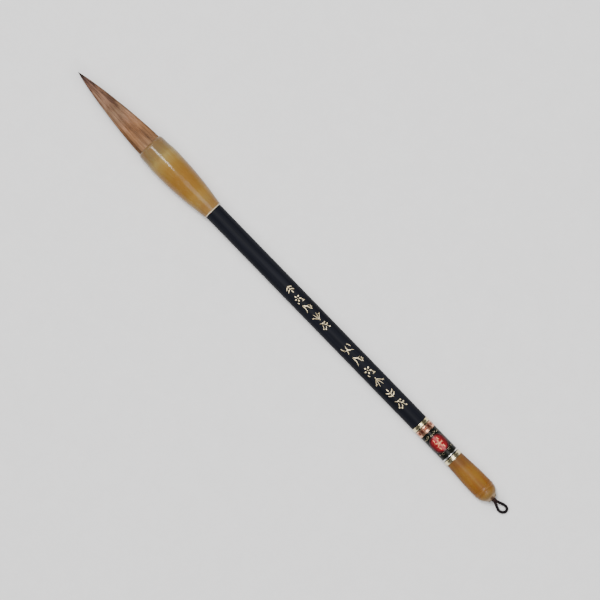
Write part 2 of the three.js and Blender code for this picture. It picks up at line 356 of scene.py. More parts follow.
# The hanging cord: route as (along, side) in mm, out along one strand and back along the other
cord = {
    "diameter": 1.2, "drawn": 0.73, "exit": 284.3, "knot": 275.6, "spread": 0.38, "sides": 24,
    "plies": 3, "pitch": 2.6, "plyDepth": 0.16, "step": 0.07, "smoothing": 24,
    "blendStart": 284.45, "blendEnd": 286.15, "droop": (0.19, 0.0495), "endPoints": 5, "endGap": 0.4,
    "route": [
        (286.15, -0.42), (286.9, -0.66), (287.8, -1.04), (288.9, -1.52), (290.1, -1.89), (291.3, -1.82),
        (292.3, -1.3), (293.0, -0.5), (293.25, 0.42), (292.9, 1.26), (292.0, 1.84), (290.8, 1.94),
        (289.5, 1.62), (288.2, 1.16), (287.1, 0.74), (286.15, 0.42),
    ],
}


# Centreline of the cord: the route, drooping by a * p + b * p^2 at p mm past the pivot, with straight ends
def cordLine(s):
    route = np.array(s["route"])
    past = np.maximum(route[:, 0] - stations["cordPivot"], 0)
    slope, curve = s["droop"]
    outside = np.column_stack([route, -(slope * past + curve * past**2)])
    inside = np.linspace(s["knot"], stations["cordPivot"] - s["endGap"], s["endPoints"])
    first = np.column_stack([inside, np.full(len(inside), -s["spread"]), np.zeros(len(inside))])
    back = first[::-1] * (1, -1, 1)
    line = smoothLine(np.concatenate([first, outside, back]), s["smoothing"])
    run = np.concatenate([[0], np.cumsum(np.linalg.norm(np.diff(line, axis=0), axis=1))])
    even = np.linspace(0, run[-1], int(run[-1] / s["step"]))
    line = np.column_stack([np.interp(even, run, line[:, k]) for k in range(3)])
    return line, even


# Tube round a line: section radius = drawn * (1 - depth * |cos(half ply angle)|^3),
# the plies turning once a pitch
def cordPiece(s, material):
    line, run = cordLine(s)
    points = placeFlat(line[:, 0], line[:, 1], line[:, 2])
    ahead = np.gradient(points, axis=0)
    ahead = ahead / np.linalg.norm(ahead, axis=1, keepdims=True)
    across = np.cross(ahead, axisUp)
    across = across / np.linalg.norm(across, axis=1, keepdims=True)
    above = np.cross(across, ahead)
    turn = (np.arange(s["sides"]) * 2 * np.pi / s["sides"])[None]
    twist = turn * s["plies"] / 2 + (run / s["pitch"] * np.pi * s["plies"] / 2)[:, None]
    groove = np.abs(np.cos(twist)) ** 3
    radius = s["drawn"] * (1 - s["plyDepth"] * groove) * mm
    ring = points[:, None] + radius[..., None] * (
        np.cos(turn)[..., None] * across[:, None] + np.sin(turn)[..., None] * above[:, None]
    )
    rows = len(points)
    values = {"groove": groove, "along": np.repeat(line[:, 0], s["sides"])}
    faces = [gridQuads(1, rows, s["sides"]), gridCaps(1, rows, s["sides"])]
    return makePiece("hanging_cord", ring, faces, material, values), points, run


# Waxed braid: almost black, browner where it leaves the hole, with short fibre marks across the plies, and
# painted shade darkening the grooves between the plies
def cordMaterial():
    material, tree, shader = shaderFor("waxedCord", rough=0.6, specular=0.1)
    fibre = noise(tree, brushSpace(tree, (1, 1, 1)), 9000, 3)
    fresh = ramp(tree, remap(tree, attribute(tree, "along"), 284, 288.5, 0, 1), [
        (0, (0.050, 0.020, 0.010)), (0.4, (0.016, 0.007, 0.006)), (1, (0.0045, 0.0028, 0.0038))])
    worn = cover(tree, fibre, 0.4, 0.7, 0.3, fresh, (0.036, 0.024, 0.028))
    # Darker in the grooves between the plies, which also keeps the fibre marks to the ply crests: painted
    # shade
    paint(tree, shader, cover(tree, attribute(tree, "groove"), 0.3, 1, 0.7, worn, (0.004, 0.003, 0.004)))
    bump(tree, shader, fibre, 0.5, 0.0001)
    return material


hangingCord, cordPoints, cordRun = cordPiece(cord, cordMaterial())
placeFlat(cord["blendStart"], 0, 0)
placeFlat(cord["blendEnd"], 0, -0.15)
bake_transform(hangingCord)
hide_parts("hanging_loop")
print("cord made,", round(float(cordRun[-1]), 1), "mm long")

# Hair: how the tuft swells from its point, how its hairs are laid, and how they are coloured
tuft = {
    "radius": 6.11, "mouth": 49.4, "tipSwell": 1.5, "tipPower": 0.88, "seed": 11,
    "bellyBlend": (48.4, 39.4), "tipBlend": (24.9, 13.9),
    "bedRows": 90, "bedSides": 260, "bedDome": 0.7, "ridgeHeight": 0.008,
    "hairWidth": 0.082, "hairSides": 3, "least": 0.02, "depthSpread": 0.022, "proud": 0.006, "rootDip": 0.35,
    "drift": 0.035, "wave": 0.02, "gather": 0.45, "clumps": 46,
    "tone": 0.45, "clumpTone": 0.16, "hairTone": 0.17,
}
# Both zones of hair: loose hairs with their roots, tips and thinning, then the bed under them
hairZones = {
    "belly": {
        "count": 1750, "roots": (50.5, 52.5), "tips": (19.5, 31.0), "seed": 11, "rows": 13,
        "rootDepth": 0.0, "tipThin": 0.45, "bed": (22.0, 56.9), "bedDepth": 0.965, "domes": (5.0, 0.8),
    },
    "tip": {
        "count": 1150, "roots": (26.5, 31.0), "tips": (0.0, 1.8), "seed": 12, "rows": 14,
        "rootDepth": 0.1, "tipThin": 0.4, "bed": (0.1, 30.5), "bedDepth": 0.95, "domes": (0.3, 4.0),
    },
}
# Clump ridges of the beds: height, ridges in a turn, lean per mm, phase
clumpRidges = [(1.0, 17, 0.05, 0.0), (0.7, 29, -0.09, 1.3), (0.8, 53, 0.03, 4.0), (0.6, 83, 0.0, 2.2)]


# Tuft outline: radius * (1 - (1 - share)^swell)^power, share being the way from the point to the mouth
def tuftRadius(along):
    share = np.clip(np.asarray(along, float) / tuft["mouth"], 0, 1)
    return tuft["radius"] * (1 - (1 - share) ** tuft["tipSwell"]) ** tuft["tipPower"]


# Packed hair under the loose ones: the tuft's outline, shrunk to a depth, plus a sum of sine ridges
# that lean round it
def hairBed(along, turn, depth):
    ridge = sum(high * np.sin(turn * ridges + lean * along + phase)
                for high, ridges, lean, phase in clumpRidges)
    return tuftRadius(along) * (depth + tuft["ridgeHeight"] * ridge)


# A closed bed of hair between two places, its radius falling as a root of the distance to either end
def bedPiece(name, s, material):
    start, end = s["bed"]
    domeStart, domeEnd = s["domes"]
    along = np.linspace(start, end, tuft["bedRows"])
    dome = np.sqrt(np.clip((along - start) / domeStart, 0, 1) * np.clip((end - along) / domeEnd, 0, 1))
    turn = np.linspace(0, 2 * np.pi, tuft["bedSides"], endpoint=False)
    alongs, turns = np.meshgrid(along, turn, indexing="ij")
    radius = hairBed(alongs, turns, s["bedDepth"]) * dome[:, None] ** tuft["bedDome"]
    ridges, lean = clumpRidges[0][1:3]
    # The bed's tone follows the biggest ridges, paler on their crests and darker in their troughs: painted
    # light and shade
    values = {"along": alongs, "tone": 0.5 + 0.15 * np.sin(turns * ridges + lean * alongs)}
    points = place(alongs, radius, turns)
    return makePiece(name, points, [gridQuads(1, len(along), len(turn))], material, values, weld=True)


# Hairs: each follows the outline at its own depth, turns towards its clump's line by gather * share^1.5,
# and thins by share^2.2 to its end
def hairPiece(name, s, material):
    rng = np.random.default_rng(s["seed"])
    count, rows, columns = s["count"], s["rows"], tuft["hairSides"]
    rootAt = rng.uniform(*s["roots"], count)
    tipAt = rng.uniform(*s["tips"], count)
    ownTurn = rng.uniform(0, 2 * np.pi, count)
    depth = 1 - np.abs(rng.normal(0, tuft["depthSpread"], count)) + tuft["proud"]
    share = np.linspace(0, 1, rows)[None]
    along = rootAt[:, None] + (tipAt - rootAt)[:, None] * share
    drift = rng.normal(0, tuft["drift"], (count, 1)) * share
    wander = drift + rng.normal(0, tuft["wave"], (count, 1)) * np.sin(share * 5)
    homeClump = np.round(ownTurn * tuft["clumps"] / (2 * np.pi)).astype(int)
    toHome = (homeClump * 2 * np.pi / tuft["clumps"] - ownTurn)[:, None]
    turn = ownTurn[:, None] + wander + toHome * tuft["gather"] * share**1.5
    buried = s["rootDepth"] * np.clip(1 - share / 0.4, 0, 1) ** 1.5
    radius = tuftRadius(along) * (depth[:, None] - buried)
    radius = np.maximum(radius - tuft["rootDip"] * np.clip(1 - share / 0.06, 0, 1), tuft["least"])
    center = place(along, radius, turn)
    ahead = np.gradient(center, axis=1)
    ahead = ahead / np.linalg.norm(ahead, axis=-1, keepdims=True)
    outward = place(along, radius + 1, turn) - center
    outward = outward / np.linalg.norm(outward, axis=-1, keepdims=True)
    across = np.cross(ahead, outward)
    width = tuft["hairWidth"] * rng.uniform(0.75, 1.25, (count, 1))
    width = width * (1 - (1 - s["tipThin"]) * share**2.2)
    width = width * np.clip(tuftRadius(along) / 1.6 + 0.15, 0.2, 1) * mm
    lean = np.arange(columns) * 2 * np.pi / columns + np.pi / 2
    ring = center[:, :, None] + width[..., None, None] * (
        np.cos(lean)[:, None] * across[:, :, None] + np.sin(lean)[:, None] * outward[:, :, None]
    )
    clumpTone = np.random.default_rng(tuft["seed"]).normal(0, tuft["clumpTone"], tuft["clumps"])
    tone = tuft["tone"] + clumpTone[homeClump % tuft["clumps"]] + rng.normal(0, tuft["hairTone"], count)
    values = {
        "along": np.repeat(along, columns, 1).reshape(count, rows, columns),
        "tone": np.broadcast_to(np.clip(tone, 0, 1)[:, None, None], (count, rows, columns)),
    }
    faces = [gridQuads(count, rows, columns), gridCaps(count, rows, columns)]
    return makePiece(name, ring, faces, material, values)


# Weasel hair: colour bands along the tuft, each hair paler or darker by its tone,
# and nearly black at the point; on the beds the tone is painted light and shade on the ridges
def hairMaterial():
    material, tree, shader = shaderFor("weaselHair", rough=0.5, specular=0.15)
    streak = grain(tree, (40, 900, 900), 5, 0.6)
    fine = grain(tree, (160, 5200, 5200), 3, 0.6)
    patch = grain(tree, (90, 260, 260), 2, 0.5)
    shifted = calc(tree, "ADD", attribute(tree, "along"), remap(tree, streak, 0.3, 0.7, -3.0, 3.0))
    length = remap(tree, shifted, 0, 52, 0, 1)
    middle, light, dark = (ramp(tree, length, hairStops[label]) for label in ("middle", "light", "dark"))
    tone = calc(tree, "ADD", attribute(tree, "tone"), remap(tree, streak, 0.25, 0.75, -0.28, 0.28))
    tone = calc(tree, "ADD", tone, remap(tree, patch, 0.3, 0.7, -0.36, 0.36))
    paler = cover(tree, tone, 0.5, 0.95, 1, middle, light)
    color = cover(tree, tone, 0.42, 0.0, 1, paler, dark)
    paint(tree, shader, cover(tree, fine, 0.65, 0.35, 0.25, color, (0.012, 0.006, 0.004)))
    roughen(tree, shader, fine, 0.36, 0.6)
    bump(tree, shader, fine, 0.35, 0.00006)
    return material


# Colours along the tuft, from its point to its root: the middle hairs, the palest and the darkest
hairStops = {
    "middle": [(0, (0.006, 0.003, 0.002)), (0.045, (0.014, 0.007, 0.005)), (0.1, (0.125, 0.058, 0.042)),
               (0.17, (0.235, 0.118, 0.077)), (0.27, (0.225, 0.117, 0.068)), (0.4, (0.215, 0.112, 0.064)),
               (0.55, (0.265, 0.150, 0.086)), (0.7, (0.255, 0.120, 0.052)), (1, (0.215, 0.115, 0.057))],
    "light": [(0, (0.016, 0.009, 0.007)), (0.06, (0.050, 0.028, 0.019)), (0.2, (0.320, 0.190, 0.120)),
              (0.4, (0.350, 0.208, 0.136)), (0.5, (0.360, 0.235, 0.140)), (0.63, (0.440, 0.245, 0.150)),
              (0.8, (0.370, 0.185, 0.085)), (1, (0.330, 0.190, 0.100))],
    "dark": [(0, (0.004, 0.002, 0.002)), (0.1, (0.014, 0.007, 0.005)), (0.4, (0.075, 0.036, 0.023)),
             (0.75, (0.100, 0.045, 0.020)), (1, (0.085, 0.044, 0.024))],
}

weaselHair = hairMaterial()
bellyBed = bedPiece("belly_hair_bed", hairZones["belly"], weaselHair)
bellyHairs = hairPiece("belly_hairs", hairZones["belly"], weaselHair)
tipBed = bedPiece("tip_hair_bed", hairZones["tip"], weaselHair)
tipHairs = hairPiece("tip_hairs_fine", hairZones["tip"], weaselHair)
bodiesOf = {
    "belly": ("handle", "tuft_belly", tuft["bellyBlend"]),
    "tip": ("tuft_belly", "tuft_tip", tuft["tipBlend"]),
}
for piece, zone in ((bellyBed, "belly"), (bellyHairs, "belly"), (tipBed, "tip"), (tipHairs, "tip")):
    first, second, (start, end) = bodiesOf[zone]
    placeFlat(start, 0, 0)
    placeFlat(end, 0, 0)
    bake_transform(piece)
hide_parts("cover_hairs", "tuft_root", "core_hairs")
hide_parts("tip_hairs")
print("hair made")

# Horn ferrule: its outer line as (along, radius), its mouth, and the sockets for the hair and the shaft
ferrule = {
    "outer": [
        (48.86, 6.34), (49.15, 6.66), (49.6, 6.92), (50.2, 7.09), (51.0, 7.17), (52.0, 7.23), (54.0, 7.31),
        (55.6, 7.42), (57.0, 7.58), (58.6, 7.665), (61.5, 7.67), (66.0, 7.58), (70.5, 7.38), (74.5, 7.10),
        (78.5, 6.74), (82.3, 6.32), (86.0, 5.80), (89.0, 5.38), (91.7, 5.01),
    ],
    "mouth": 48.8, "lipRadius": 6.15, "lipDepth": 0.8, "socket": 6.4, "socketEnd": 60.3,
    "tenonStart": 74.9, "tenon": 3.28, "end": 92.4, "endStep": 0.12, "softness": 0.16, "waver": 0.012,
}


# Ferrule section: from the socket's floor out over the lip, along the swell, and in to the tenon's hole
def ferruleOutline(s):
    swell = smoothLine(s["outer"], 6)
    front = [(s["socketEnd"], 0), (s["socketEnd"], s["socket"]), (s["mouth"] + s["lipDepth"], s["socket"]),
             (s["mouth"], s["lipRadius"])]
    rear = [(s["end"], s["outer"][-1][1] - s["endStep"]), (s["end"], s["tenon"]),
            (s["tenonStart"], s["tenon"]), (s["tenonStart"], 0)]
    lips = softened(front + [tuple(swell[0])], s["softness"])
    tails = softened([tuple(swell[-1])] + rear, s["softness"])
    return np.concatenate([lips, swell[1:-1], tails])


# Hand turning: two slow waves round the horn and faint rings along it, all a few hundredths of a mm
def turnedByHand(depth):
    return lambda along, turn: depth * (
        0.5 * np.sin(2 * turn + 0.08 * along)
        + 0.3 * np.sin(along * 1.9)
        + 0.2 * np.sin(3 * turn - 0.11 * along + 1)
    )


# How much of a painted end band shows: all of it past a place along the brush, within a reach to either side
def edgeShare(tree, edge):
    parts = node(tree, "ShaderNodeSeparateXYZ")
    tree.links.new(brushSpace(tree, (1, 1, 1)), parts.inputs["Vector"])
    side = calc(tree, "ABSOLUTE", parts.outputs["Y"], 0.0)
    within = remap(tree, side, edge["reach"] * mm, (edge["reach"] + edge["fade"]) * mm, 1, 0)
    start, fade = edge["start"], edge["fade"]
    past = remap(tree, attribute(tree, "along"), start, start + fade, 0, edge["share"])
    return calc(tree, "MULTIPLY", within, past)


# Polished horn: colour stops along the brush, shifted by a slow noise, then clouds, flakes, long fibres,
# and a painted end band where there is one. The gloss is its roughness and its specular level
def hornMaterial(name, span, stops, cloud, fleck, gloss, glow=0.1, edge=None):
    rough, specular = gloss
    material, tree, shader = shaderFor(
        name, rough=rough, specular=specular, ior=1.54,
        glow=glow, glowReach=(1.0, 0.55, 0.2), glowScale=0.0015)
    slow = grain(tree, (70, 150, 150), 3, 0.5, 0.6)
    long = grain(tree, (35, 420, 420), 5, 0.6, 0.3)
    flakes = grain(tree, (330, 520, 520), 4, 0.6, 0.8)
    fibre = grain(tree, (60, 2600, 2600), 3, 0.5)
    shift = remap(tree, slow, 0.25, 0.75, -cloud["shift"], cloud["shift"])
    where = calc(tree, "ADD", attribute(tree, "along"), shift)
    base = ramp(tree, remap(tree, where, span[0], span[1], 0, 1), stops)
    clouded = cover(tree, long, 0.42, 0.72, cloud["share"], base, cloud["color"])
    flecked = cover(tree, flakes, 0.55, 0.8, fleck["share"], clouded, fleck["color"])
    color = cover(tree, fibre, 0.65, 0.35, 0.14, flecked, (0.09, 0.045, 0.012))
    if edge:
        color = mixColor(tree, edgeShare(tree, edge), color, edge["color"])
    paint(tree, shader, color)
    roughen(tree, shader, long, rough - 0.04, rough + 0.05)
    bump(tree, shader, slow, 0.12, 0.0003)
    return material


ferruleHorn = hornMaterial(
    "ferruleHorn", (49.4, 92.4),
    [(0, (0.165, 0.105, 0.050)), (0.1, (0.170, 0.116, 0.050)), (0.15, (0.200, 0.140, 0.052)),
     (0.2, (0.275, 0.195, 0.062)), (0.27, (0.260, 0.163, 0.042)), (0.36, (0.232, 0.128, 0.027)),
     (0.48, (0.226, 0.112, 0.022)), (0.62, (0.226, 0.113, 0.022)), (0.7, (0.232, 0.124, 0.024)),
     (0.76, (0.260, 0.146, 0.032)), (0.84, (0.245, 0.146, 0.038)), (0.92, (0.222, 0.122, 0.036)),
     # The last two stops paint the ferrule's rear rim pale cream: a painted highlight
     (0.975, (0.230, 0.130, 0.044)), (0.99, (0.420, 0.340, 0.210)), (1, (0.420, 0.340, 0.210))],
    {"shift": 1.2, "share": 0.35, "color": (0.235, 0.098, 0.016)},
    {"share": 0.3, "color": (0.300, 0.215, 0.085)}, (0.15, 0.18),
    # Cream edge colour round the rear rim: a painted highlight
    edge={"start": 91.95, "fade": 0.15, "reach": 9.0, "share": 0.8, "color": (0.70, 0.60, 0.44)})
hornFerrule = turnPiece("horn_ferrule", ferruleOutline(ferrule), ferruleHorn, 180,
                        turnedByHand(ferrule["waver"]), 50)
settle(hornFerrule, "handle", "ferrule_horn", "ferrule")
print("ferrule made")

# Lacquered shaft with a turned-down seat for the bands and a tenon at each end
shaft = {
    "radius": 4.5, "front": 75.2, "tenon": 3.2, "shoulder": 92.48, "seatStart": 233.8, "seat": 4.1,
    "seatEnd": 257.84, "rearTenon": 2.95, "end": 267.6, "softness": 0.22, "barrelRows": 100, "waver": 0.006,
}


# Shaft section: stepped corners, softened, with many even rows along the barrel to carry its waver
def shaftOutline(s):
    corners = [
        (s["front"], 0), (s["front"], s["tenon"]), (s["shoulder"], s["tenon"]),
        (s["shoulder"], s["radius"]), (s["seatStart"], s["radius"]), (s["seatStart"], s["seat"]),
        (s["seatEnd"], s["seat"]), (s["seatEnd"], s["rearTenon"]), (s["end"], s["rearTenon"]), (s["end"], 0),
    ]
    rounded = softened(corners, s["softness"])
    barrelStart = s["shoulder"] + 1
    barrel = np.linspace(barrelStart, s["seatStart"] - 1, s["barrelRows"])
    before = rounded[rounded[:, 0] <= barrelStart]
    after = rounded[rounded[:, 0] > barrelStart]
    return np.concatenate([before, np.column_stack([barrel, np.full(len(barrel), s["radius"])]), after])


# Black lacquer: blue-black, with long brush-laid ripples, faint polishing marks and dust-fine speckle
def lacquerMaterial():
    material, tree, shader = shaderFor("blackLacquer", rough=0.48, specular=0.05)
    long = grain(tree, (25, 700, 700), 4, 0.6)
    speck = grain(tree, (2200, 2600, 2600), 2, 0.5)
    color = ramp(tree, long, [(0.3, (0.0054, 0.0060, 0.0088)), (0.7, (0.0094, 0.0102, 0.0148))])
    paint(tree, shader, cover(tree, speck, 0.66, 0.8, 0.25, color, (0.020, 0.020, 0.024)))
    roughen(tree, shader, long, 0.42, 0.54)
    bump(tree, shader, long, 0.15, 0.0002)
    return material


blackLacquer = lacquerMaterial()
lacqueredShaft = turnPiece("lacquered_shaft", shaftOutline(shaft), blackLacquer, 144,
                           turnedByHand(shaft["waver"]))
settle(lacqueredShaft, "handle", "black_lacquer", "shaft")
print("shaft made")

# Gold ornaments stamped along the shaft, in two rows of (first place, pitch, count)
stamps = {
    "firstRow": (145.1, 5.95, 5), "secondRow": (184.4, 7.28, 6), "lift": 0.035, "rows": 11,
    "firstSize": 2.3, "secondSize": 2.6, "line": 0.03, "sideways": 0.2,
    "order": [
        "bamboo", "plum", "orchid", "pine", "berry", "reed", "orchid", "plum", "pine", "bamboo", "berry",
    ],
}
# Each motif is a list of strokes: x, y, heading in degrees, length, bend, width, in sizes of the stamp
motifs = {
    "bamboo": [
        (-1.0, 0.04, 0, 1.2, 0.02, 0.035), (-0.72, 0.08, 56, 0.85, 0.1, 0.075),
        (-0.72, -0.05, -54, 0.82, -0.1, 0.075), (-0.1, 0.1, 50, 0.86, 0.1, 0.08),
        (-0.1, -0.06, -56, 0.86, -0.1, 0.08), (0.3, 0.03, 8, 0.68, 0.08, 0.075),
    ],
    "plum": [
        *[(0.2 + 0.34 * math.cos(a), 0.12 + 0.34 * math.sin(a), math.degrees(a), 0.42, 0.0, 0.12)
          for a in np.arange(5) * 2 * np.pi / 5 + 0.3],
        (0.12, 0.12, 0, 0.16, 0.0, 0.06), (-1.0, -0.82, 26, 1.0, 0.12, 0.04),
        (-0.8, -0.72, 98, 0.55, 0.1, 0.06), (-0.95, 0.62, 20, 0.5, 0.12, 0.07),
    ],
    "orchid": [
        (-1.0, -0.4, 56, 1.25, -0.22, 0.055), (-0.92, -0.45, 26, 1.8, 0.13, 0.06),
        (-0.92, -0.6, -6, 1.8, 0.12, 0.06), (0.3, 0.62, 66, 0.36, 0.1, 0.08),
        (0.42, 0.5, 4, 0.42, 0.1, 0.08), (0.15, 0.62, 136, 0.34, -0.1, 0.07),
    ],
    "pine": [
        *[(-0.85, -0.1, angle, 1.75 - 0.004 * abs(angle), 0.0, 0.03) for angle in (-42, -14, 14, 42)],
        (-0.95, -0.1, 180, 0.2, 0.0, 0.06), (0.2, 0.62, 112, 0.45, 0.1, 0.06),
        (0.2, -0.66, -112, 0.4, -0.1, 0.06),
    ],
    "berry": [
        (-1.0, -0.6, 33, 2.1, 0.12, 0.03), (-0.62, -0.3, 95, 0.62, 0.1, 0.04),
        (-0.05, 0.12, 88, 0.5, -0.1, 0.04), (-0.35, -0.32, -30, 0.75, 0.12, 0.04),
        (0.25, 0.1, -42, 0.62, 0.1, 0.04),
        *[(x, y, 20, 0.3, 0.0, 0.14) for x, y in ((-0.76, 0.42), (-0.15, 0.66), (0.28, -0.78))],
        (0.62, -0.42, 20, 0.3, 0.0, 0.13), (0.66, 0.62, 20, 0.34, 0.0, 0.14),
    ],
    "reed": [
        (-0.95, -0.8, 62, 1.9, -0.1, 0.045), (-0.6, -0.15, 8, 1.3, 0.16, 0.06),
        (-0.25, 0.4, 160, 0.75, 0.14, 0.055), (0.1, 0.72, 20, 0.8, 0.14, 0.07),
        (0.0, -0.75, 25, 0.95, -0.12, 0.06),
    ],
}


# Bent leaves: each runs from its start along its heading, bowed by bend * length * 4u(1 - u) to one side;
# half-width = width * sin(pi u^0.8)^0.7 + line
def leafStrokes(table, center, size, rows, line, halfTurned=False):
    x, y, heading, length, bend, width = (np.array(column)[:, None] for column in zip(*table))
    u = np.linspace(0, 1, rows)[None]
    angle = np.radians(heading) + (np.pi if halfTurned else 0)
    flip = -1 if halfTurned else 1
    bow = bend * length * 4 * u * (1 - u)
    px = flip * x + length * u * np.cos(angle) - bow * np.sin(angle)
    py = flip * y + length * u * np.sin(angle) + bow * np.cos(angle)
    paths = np.stack([center[0] + size * px, center[1] + size * py], -1)
    halfWidths = size * width * np.sin(np.pi * u**0.8) ** 0.7 * np.ones_like(x) + line
    return paths, halfWidths


# One motif at each place of both rows, every second one half turned
def stampStrokes(s):
    starts = [s["firstRow"], s["secondRow"]]
    spots = [(start + pitch * k, size) for (start, pitch, count), size in
             zip(starts, (s["firstSize"], s["secondSize"])) for k in range(count)]
    batches = []
    for index, ((along, size), motif) in enumerate(zip(spots, s["order"])):
        center = (along, s["sideways"])
        paths, widths = leafStrokes(motifs[motif], center, size, s["rows"], s["line"], index % 2 == 1)
        batches.append(inlayStrokes(paths, widths, s["lift"], shaft["radius"]))
    return batches


# Gold foil: pale, a little uneven in colour and shine where the stamp pressed less
def goldFoilMaterial(name, pale, deep, rough, metal=0.75):
    material, tree, shader = shaderFor(name, metal=metal, rough=rough, specular=0.5)
    press = grain(tree, (900, 900, 900), 4, 0.65)
    paint(tree, shader, cover(tree, press, 0.35, 0.65, 1, deep, pale))
    roughen(tree, shader, press, rough + 0.15, rough - 0.08)
    bump(tree, shader, press, 0.3, 0.00005)
    return material


stampGold = goldFoilMaterial("stampGold", (1.0, 0.87, 0.58), (0.80, 0.63, 0.34), 0.42, 0.45)
settle(strokePiece("gold_stamps", stampStrokes(stamps), stampGold), "handle", "pale_gold")
print("stamps made")

# Foil and metal bands on the seat, from the hair side: length, outer radius, how the crown is shaped
bands = {
    "inner": 4.18, "start": 233.88, "gap": 0.04, "points": 41, "edgeFall": 0.07, "edgeWidth": 0.1,
    "crownFall": 0.16, "beadShare": 0.17, "beadHeight": 0.08, "crownRise": 0.12, "crownFade": 0.06,
    "row": [
        ("front_gold_ring", 1.85, 4.72, "beaded"), ("front_black_ring", 0.42, 4.42, "round"),
        ("copper_key_band", 3.33, 4.60, "flat"), ("label_sleeve", 14.97, 4.58, "flat"),
        ("silver_ring", 0.66, 4.66, "round"), ("rear_black_ring", 0.42, 4.36, "round"),
        ("rear_gold_ring", 2.0, 4.72, "beaded"),
    ],
}


# Outer line of a band: flat with soft edges, one round crown, or a crown between two small beads,
# u being the way across the band and near the distance to its closer edge
def bandOutline(s, start, length, outer, crown):
    u = np.linspace(0, 1, s["points"])
    near = np.minimum(u, 1 - u)
    if crown == "flat":
        lift = -s["edgeFall"] * (1 - np.clip(near * length / s["edgeWidth"], 0, 1)) ** 2
    elif crown == "round":
        lift = -s["crownFall"] * (1 - np.sin(np.pi * u) ** 0.6)
    else:
        beads = np.abs(np.sin(np.pi * np.clip(near / s["beadShare"], 0, 1)))
        middle = np.clip((near - s["beadShare"]) / s["crownFade"], 0, 1)
        crowned = s["crownRise"] * middle * np.sin(np.pi * u) ** 0.4
        lift = -s["crownRise"] + s["beadHeight"] * beads + crowned
    outside = np.column_stack([start + length * u, outer + lift])
    return np.concatenate([[(start, s["inner"])], outside, [(start + length, s["inner"])]])


# Plated metal: rubbed round the brush, with patches of a deeper tarnish
def metalMaterial(name, pale, deep, rough):
    material, tree, shader = shaderFor(name, metal=1.0, rough=rough, brushed=0.35)
    rub = grain(tree, (5200, 500, 500), 3, 0.6)
    tarnish = grain(tree, (350, 350, 350), 4, 0.6)
    paint(tree, shader, cover(tree, tarnish, 0.45, 0.75, 0.8, pale, deep))
    roughen(tree, shader, rub, rough - 0.05, rough + 0.12)
    bump(tree, shader, rub, 0.12, 0.00004)
    return material


# Glossy printed film, with a grain so fine that it only breaks up the shine
def filmMaterial(name, color, other, rough=0.22):
    material, tree, shader = shaderFor(name, rough=rough, specular=0.15)
    mottle = grain(tree, (700, 700, 700), 4, 0.6)
    paint(tree, shader, cover(tree, mottle, 0.4, 0.7, 1, color, other))
    roughen(tree, shader, mottle, rough - 0.06, rough + 0.1)
    bump(tree, shader, mottle, 0.08, 0.0001)
    return material


paleGold = metalMaterial("paleGold", (0.80, 0.71, 0.44), (0.58, 0.48, 0.24), 0.16)
silverPlate = metalMaterial("silverPlate", (0.74, 0.74, 0.70), (0.62, 0.62, 0.56), 0.2)
blackFilm = filmMaterial("blackFilm", (0.004, 0.005, 0.004), (0.009, 0.009, 0.006))
copperFoil = goldFoilMaterial("copperFoil", (0.92, 0.52, 0.35), (0.66, 0.31, 0.19), 0.2, 0.96)
bandLooks = {
    "front_gold_ring": (paleGold, "pale_gold"), "front_black_ring": (blackFilm, "black_foil"),
    "copper_key_band": (copperFoil, "copper_foil"), "label_sleeve": (blackFilm, "black_foil"),
    "silver_ring": (silverPlate, "silver"), "rear_black_ring": (blackFilm, "black_foil"),
    "rear_gold_ring": (paleGold, "pale_gold"),
}
bandAt = {}
bandStart = bands["start"]
for bandName, bandLength, bandRadius, bandCrown in bands["row"]:
    bandAt[bandName] = (bandStart, bandStart + bandLength, bandRadius)
    bandFinish, bandSlot = bandLooks[bandName]
    outline = bandOutline(bands, bandStart, bandLength, bandRadius, bandCrown)
    settle(turnPiece(bandName + "_fine", outline, bandFinish, 144), "handle", bandSlot, bandName)
    bandStart += bandLength + bands["gap"]

# Key pattern: dark tinted squares round the copper band, each with a dark square spiral on it
keyPattern = {
    "count": 13, "phase": 0.06, "middle": 1.42, "half": 0.76, "inset": 0.15, "line": 0.075, "rows": 5,
    "lineLift": 0.05, "padLift": 0.03, "padRows": 9, "padMargin": 0.04, "padSides": 16,
    "spiral": [(-1, 1), (-1, -1), (1, -1), (1, 1), (-0.25, 1), (-0.25, -0.25), (0.35, -0.25), (0.35, 0.4)],
}


# Straight strokes between the corners of a line, lengthened by half a line width so that corners fill
def cornerStrokes(corners, halfWidth, rows):
    corners = np.asarray(corners, float)
    start, end = corners[:-1], corners[1:]
    ahead = (end - start) / np.linalg.norm(end - start, axis=1, keepdims=True)
    u = np.linspace(0, 1, rows)[None, :, None]
    paths = (start - ahead * halfWidth)[:, None] * (1 - u) + (end + ahead * halfWidth)[:, None] * u
    return paths, np.full(paths.shape[:2], halfWidth)


# A spiral and the pad under it at each of count even turns round the band
def keyStrokes(s, center, radius):
    spiral = np.array(s["spiral"]) * (s["half"] - s["inset"])
    paths, widths = cornerStrokes(spiral, s["line"], s["rows"])
    u = np.linspace(-s["half"], s["half"], s["padRows"])
    padLine = np.column_stack([u, 0 * u])[None]
    padWidths = np.full((1, s["padRows"]), s["half"] + s["padMargin"])
    lines, pads = [], []
    for turn in (np.arange(s["count"]) + s["phase"]) * 2 * np.pi / s["count"]:
        shift = np.array([center, turn * radius])
        lines.append(inlayStrokes(paths + shift, widths, s["lineLift"], radius))
        pads.append(inlayStrokes(padLine + shift, padWidths, s["padLift"], radius, s["padSides"]))
    return lines, pads


keyStart, _, keyRadius = bandAt["copper_key_band"]
keyLines, keyPads = keyStrokes(keyPattern, keyStart + keyPattern["middle"], keyRadius)
redTint = goldFoilMaterial("redTint", (0.32, 0.090, 0.052), (0.22, 0.054, 0.032), 0.28, 0.92)
keyInk = filmMaterial("keyInk", (0.030, 0.008, 0.006), (0.055, 0.014, 0.010), 0.3)
settle(strokePiece("key_pads", keyPads, redTint), "handle", "copper_foil")
settle(strokePiece("key_lines", keyLines, keyInk), "handle", "red_enamel")
print("bands made")

